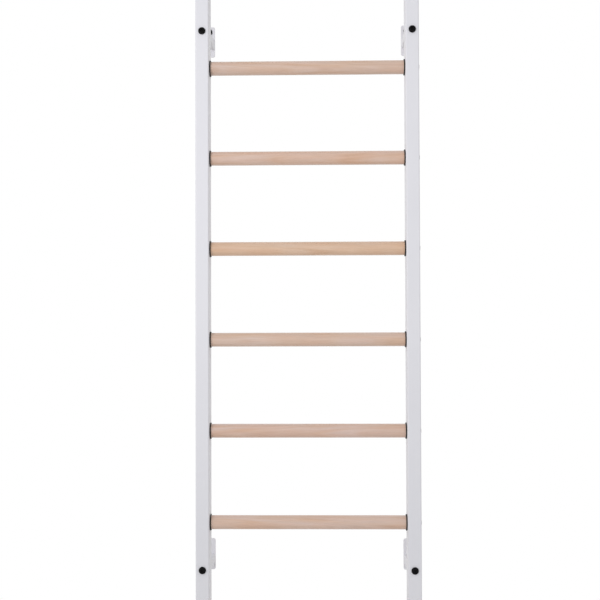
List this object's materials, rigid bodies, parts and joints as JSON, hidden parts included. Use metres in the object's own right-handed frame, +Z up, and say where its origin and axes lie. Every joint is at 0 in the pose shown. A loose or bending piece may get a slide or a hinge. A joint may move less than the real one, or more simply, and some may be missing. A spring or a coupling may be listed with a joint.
{
  "type": "wall bars",
  "caption": "Swedish wall bars: white steel tube uprights joined by round beech rungs in black collars, held off a wall by bolted standoff brackets, for climbing, hanging and stretching.",
  "frame": {"origin": "on the floor, midway across the width and midway between the front bolt heads and the wall", "axes": "+Z up, +X to the right seen from the front, +Y towards the wall, so the front faces -Y"},
  "size_m": [0.667, 0.1922, 2.3],
  "materials": {
    "frame_white": "white powder coat, satin",
    "beech": "clear satin lacquer",
    "collar_black": "moulded black plastic",
    "bolt_black": "black zinc",
    "cap_black": "moulded black plastic",
    "sleeve_steel": "plain steel tube"
  },
  "bodies": {
    "root": {"left_upright": "frame_white", "right_upright": "frame_white", "rung_1": "beech", "rung_2": "beech", "rung_3": "beech", "rung_4": "beech", "rung_5": "beech", "rung_6": "beech", "rung_7": "beech", "rung_8": "beech", "rung_collar_left_1": "collar_black", "rung_collar_left_2": "collar_black", "rung_collar_left_3": "collar_black", "rung_collar_left_4": "collar_black", "rung_collar_left_5": "collar_black", "rung_collar_left_6": "collar_black", "rung_collar_left_7": "collar_black", "rung_collar_left_8": "collar_black", "rung_collar_right_1": "collar_black", "rung_collar_right_2": "collar_black", "rung_collar_right_3": "collar_black", "rung_collar_right_4": "collar_black", "rung_collar_right_5": "collar_black", "rung_collar_right_6": "collar_black", "rung_collar_right_7": "collar_black", "rung_collar_right_8": "collar_black", "rung_bolt_left_1": "bolt_black", "rung_bolt_left_2": "bolt_black", "rung_bolt_left_3": "bolt_black", "rung_bolt_left_4": "bolt_black", "rung_bolt_left_5": "bolt_black", "rung_bolt_left_6": "bolt_black", "rung_bolt_left_7": "bolt_black", "rung_bolt_left_8": "bolt_black", "rung_bolt_right_1": "bolt_black", "rung_bolt_right_2": "bolt_black", "rung_bolt_right_3": "bolt_black", "rung_bolt_right_4": "bolt_black", "rung_bolt_right_5": "bolt_black", "rung_bolt_right_6": "bolt_black", "rung_bolt_right_7": "bolt_black", "rung_bolt_right_8": "bolt_black", "wall_bracket_upper_left": "frame_white", "bracket_bolt_upper_left": "bolt_black", "spacer_sleeve_upper_left": "sleeve_steel", "wall_bracket_upper_right": "frame_white", "bracket_bolt_upper_right": "bolt_black", "spacer_sleeve_upper_right": "sleeve_steel", "wall_bracket_lower_left": "frame_white", "bracket_bolt_lower_left": "bolt_black", "spacer_sleeve_lower_left": "sleeve_steel", "wall_bracket_lower_right": "frame_white", "bracket_bolt_lower_right": "bolt_black", "spacer_sleeve_lower_right": "sleeve_steel", "wall_nut_upper_left": "bolt_black", "top_cap_left": "cap_black", "foot_left": "cap_black", "wall_nut_upper_right": "bolt_black", "top_cap_right": "cap_black", "foot_right": "cap_black"}
  },
  "joints": []
}
